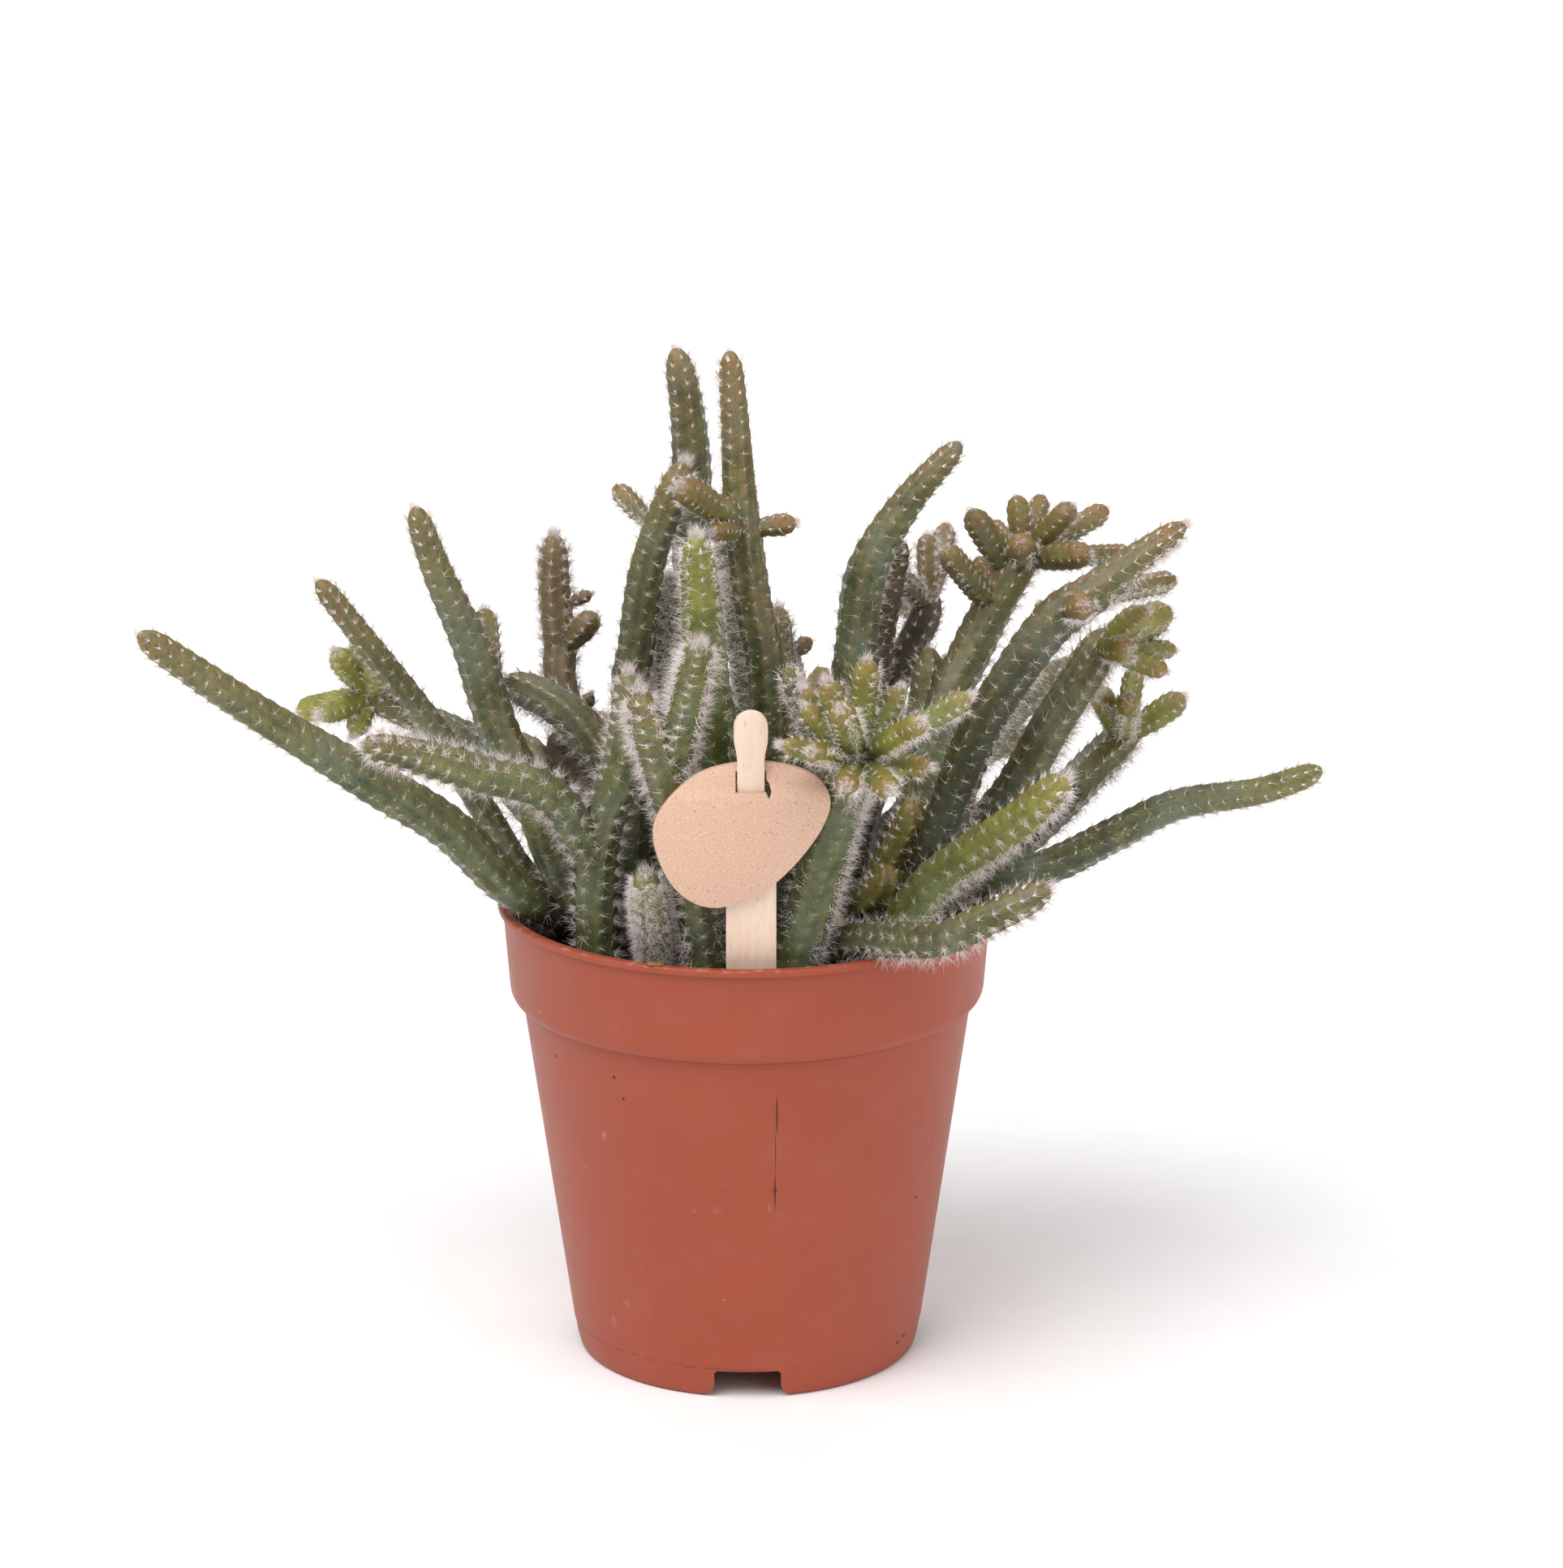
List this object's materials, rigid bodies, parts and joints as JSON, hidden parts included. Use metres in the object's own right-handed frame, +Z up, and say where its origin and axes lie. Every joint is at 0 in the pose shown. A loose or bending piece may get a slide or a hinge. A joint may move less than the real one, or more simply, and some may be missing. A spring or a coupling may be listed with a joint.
{
  "type": "potted rhipsalis baccifera horrida",
  "caption": "Bristly mistletoe cactus with ribbed cylindrical stems and short side shoots, standing in a tapered round grower's pot with a blank tag on a wooden stick.",
  "frame": {"origin": "on the surface the pot stands on, at the middle of the part's footprint, which is on the pot's axis", "axes": "+Z up along the pot's axis, -Y towards the front with the tag, +X to the right seen from the front"},
  "size_m": [0.2203, 0.1315, 0.1878],
  "materials": {
    "pot_plastic": "injection-moulded polypropylene, terracotta orange, satin",
    "potting_soil": "dark peat potting mix with bark and perlite bits",
    "birch_wood": "bare pale birch with fine grain along the stick",
    "kraft_board": "uncoated recycled kraft board, lightly speckled",
    "stem_skin": "waxy grey-green plant skin with cream areoles and white bristles",
    "young_stem": "waxy yellow-green young plant skin with white bristles",
    "old_stem": "dull brown-green old plant skin with pale bristles"
  },
  "bodies": {
    "root": {"pot": "pot_plastic", "soil": "potting_soil", "label_stick": "birch_wood", "tag": "kraft_board", "stem_left_long": "stem_skin", "stem_left_slanting": "stem_skin", "stem_left_whorled": "stem_skin", "stem_left_tall": "stem_skin", "stem_left_front": "stem_skin", "stem_left_bent": "stem_skin", "stem_left_brown": "old_stem", "stem_left_woolly": "old_stem", "stem_centre_tallest": "stem_skin", "stem_centre_curved": "stem_skin", "stem_centre_slender": "stem_skin", "stem_centre_light": "young_stem", "stem_centre_hairy": "stem_skin", "stem_centre_woolly": "stem_skin", "stem_front_forked": "stem_skin", "stem_front_woolly": "stem_skin", "stem_centre_short": "stem_skin", "stem_centre_back": "stem_skin", "stem_right_arching": "stem_skin", "stem_right_dark": "old_stem", "stem_right_crowned": "stem_skin", "stem_right_leaning": "stem_skin", "stem_right_branched": "stem_skin", "stem_right_low": "stem_skin", "stem_right_bright": "young_stem", "stem_right_long": "stem_skin", "stem_right_over_rim": "stem_skin", "stem_front_star": "stem_skin", "stem_right_short": "young_stem", "stem_front_sprout": "young_stem", "stem_back_left": "stem_skin", "stem_back_middle": "stem_skin", "stem_back_right": "stem_skin", "stem_back_far_right": "stem_skin", "stem_back_far_left": "stem_skin", "stem_back_star": "stem_skin", "stem_back_upright": "stem_skin", "stem_back_whorled": "stem_skin", "stem_back_low": "stem_skin"}
  },
  "joints": []
}
